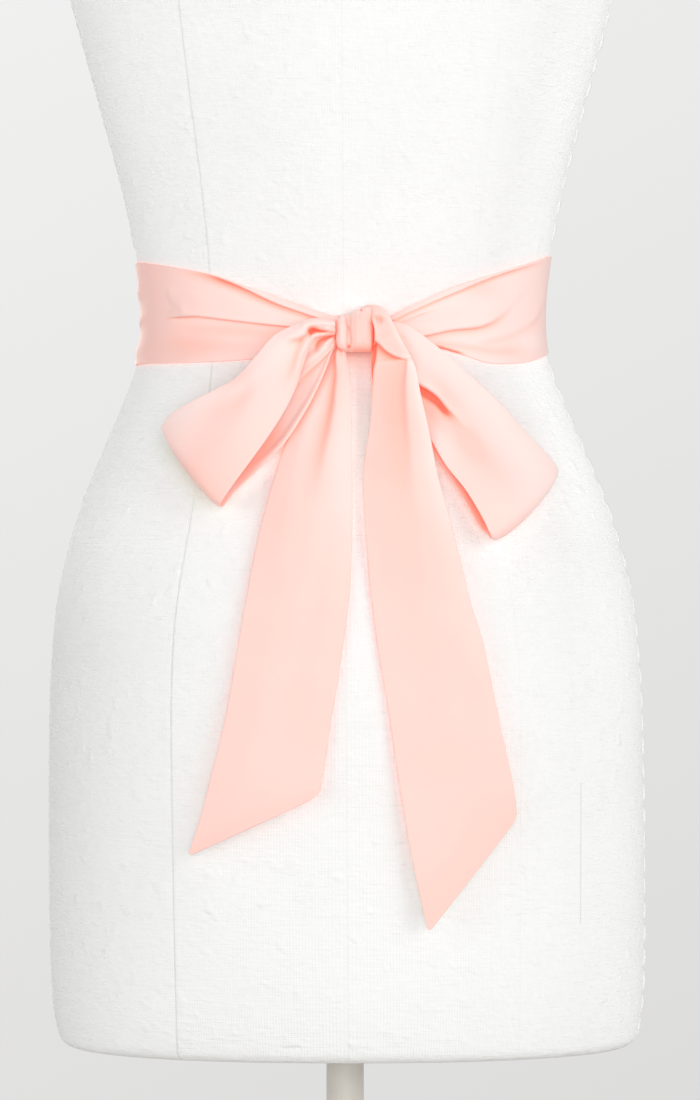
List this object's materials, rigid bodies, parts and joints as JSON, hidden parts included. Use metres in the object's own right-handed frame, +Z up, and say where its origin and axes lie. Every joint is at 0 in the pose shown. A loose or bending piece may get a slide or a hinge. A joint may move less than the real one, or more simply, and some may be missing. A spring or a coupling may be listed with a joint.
{
  "type": "satin sash on a dress form",
  "caption": "Peach satin sash tied in a bow with drooping loops and slant-cut tails, round the waist of a limbless linen dress form on a pole with a round foot.",
  "frame": {"origin": "middle of the base disc's underside, on the floor", "axes": "+Z up the pole, -Y towards the viewer of the bow, at the back of the form, +X to that viewer's right"},
  "size_m": [0.38, 0.38, 1.1583],
  "materials": {
    "peach_satin": "matte satin",
    "pale_linen": "plain linen weave",
    "pale_wood": "clear matt lacquer",
    "ivory_paint": "ivory powder coat"
  },
  "bodies": {
    "root": {"waist_band": "peach_satin", "knot": "peach_satin", "left_loop": "peach_satin", "right_loop": "peach_satin", "left_tail": "peach_satin", "right_tail": "peach_satin", "form_body": "pale_linen", "neck_cap": "pale_wood", "pole": "ivory_paint", "pole_collar": "ivory_paint", "base_disc": "ivory_paint"}
  },
  "joints": []
}
